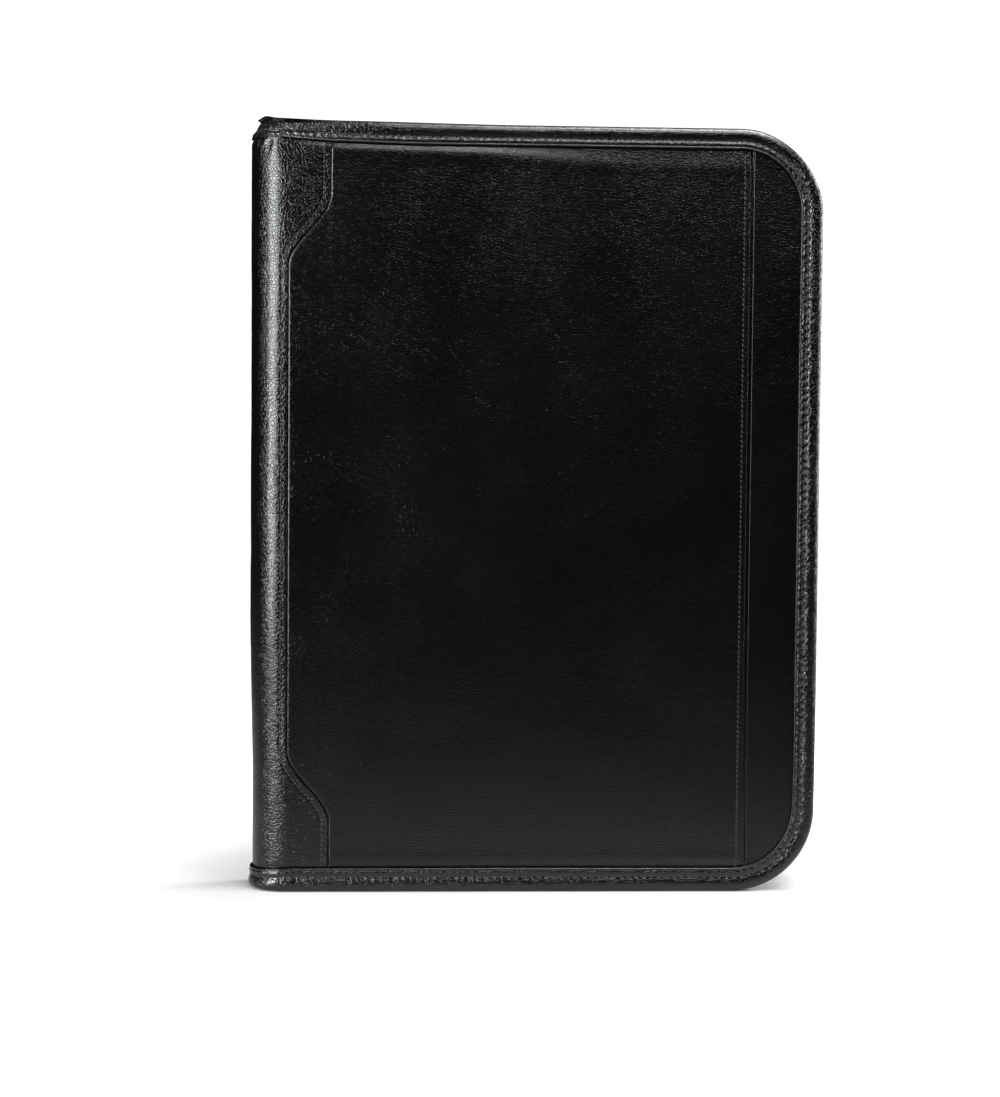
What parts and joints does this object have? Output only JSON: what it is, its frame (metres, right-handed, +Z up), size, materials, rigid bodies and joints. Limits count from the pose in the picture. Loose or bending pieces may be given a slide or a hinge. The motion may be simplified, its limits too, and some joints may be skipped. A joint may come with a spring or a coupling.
{
  "type": "zip-around portfolio case",
  "caption": "Slim black padded leather portfolio for letter-size papers: two covers on a soft rounded spine, bound and stitched edges, and a zip round the other three sides.",
  "frame": {"origin": "middle of the base, where the case stands on its long bottom edges", "axes": "+X from the spine to the opening side, -Y towards the front cover, +Z up along the spine"},
  "size_m": [0.255, 0.034, 0.342],
  "materials": {
    "cover_leather": "gloss",
    "spine_leather": "gloss",
    "binding_leather": "gloss",
    "pocket_leather": "satin",
    "lining_fabric": "matte",
    "elastic": "matte",
    "zip_tape": "matte",
    "zip_teeth": "satin",
    "zip_metal": "satin",
    "clear_film": "gloss",
    "board": "matte",
    "foam": "matte"
  },
  "bodies": {
    "rear_cover": {"rear_lining": "lining_fabric", "rear_board": "board", "rear_foam": "foam", "rear_skin": "cover_leather", "rear_spine_overlay": "spine_leather", "rear_binding": "binding_leather", "rear_zip_tape": "zip_tape", "rear_zip_coil": "zip_teeth", "rear_zip_stop": "zip_metal", "pad_sleeve": "pocket_leather", "zip_bottom_stop": "zip_metal"},
    "front_cover": {"front_lining": "lining_fabric", "front_board": "board", "front_foam": "foam", "front_skin": "cover_leather", "front_spine_overlay": "spine_leather", "front_slip_pocket": "cover_leather", "front_binding": "binding_leather", "front_zip_tape": "zip_tape", "front_zip_coil": "zip_teeth", "front_zip_stop": "zip_metal", "file_pocket": "pocket_leather", "card_pocket_1": "pocket_leather", "card_pocket_2": "pocket_leather", "card_pocket_3": "pocket_leather", "window_film": "clear_film", "window_rim": "pocket_leather", "pen_loop": "elastic"},
    "spine_1": {"spine_lining_1": "lining_fabric", "spine_padding_1": "foam", "spine_overlay_1": "spine_leather", "spine_binding_bottom_1": "binding_leather", "spine_binding_top_1": "binding_leather"},
    "spine_2": {"spine_lining_2": "lining_fabric", "spine_padding_2": "foam", "spine_overlay_2": "spine_leather", "spine_binding_bottom_2": "binding_leather", "spine_binding_top_2": "binding_leather"},
    "spine_3": {"spine_lining_3": "lining_fabric", "spine_padding_3": "foam", "spine_overlay_3": "spine_leather", "spine_binding_bottom_3": "binding_leather", "spine_binding_top_3": "binding_leather"},
    "spine_4": {"spine_lining_4": "lining_fabric", "spine_padding_4": "foam", "spine_overlay_4": "spine_leather", "spine_binding_bottom_4": "binding_leather", "spine_binding_top_4": "binding_leather"},
    "slider": {"zip_slider": "zip_metal", "zip_slider_bridge": "zip_metal"},
    "pull": {"zip_pull": "zip_metal"}
  },
  "joints": [
    {"name": "rear_crease", "type": "hinge", "parent": "rear_cover", "child": "spine_4", "pos_m": [-0.1105, 0.017, 0.171], "axis": [0, 0, -1], "range_deg": [0, 22.5]},
    {"name": "spine_bend_3", "type": "hinge", "parent": "spine_4", "child": "spine_3", "pos_m": [-0.12252, 0.01202, 0.171], "axis": [0, 0, -1], "range_deg": [0, 45]},
    {"name": "spine_bend_2", "type": "hinge", "parent": "spine_3", "child": "spine_2", "pos_m": [-0.1275, 0, 0.171], "axis": [0, 0, -1], "range_deg": [0, 45]},
    {"name": "spine_bend_1", "type": "hinge", "parent": "spine_2", "child": "spine_1", "pos_m": [-0.12252, -0.01202, 0.171], "axis": [0, 0, -1], "range_deg": [0, 45]},
    {"name": "front_crease", "type": "hinge", "parent": "spine_1", "child": "front_cover", "pos_m": [-0.1105, -0.017, 0.171], "axis": [0, 0, -1], "range_deg": [0, 22.5]},
    {"name": "zip_slide", "type": "slide", "parent": "rear_cover", "child": "slider", "axis": [1, 0, 0], "range_m": [0, 0.177]},
    {"name": "pull_swing", "type": "hinge", "parent": "slider", "child": "pull", "pos_m": [-0.094, 0, 0.3372], "axis": [0, -1, 0], "range_deg": [0, 150]}
  ]
}
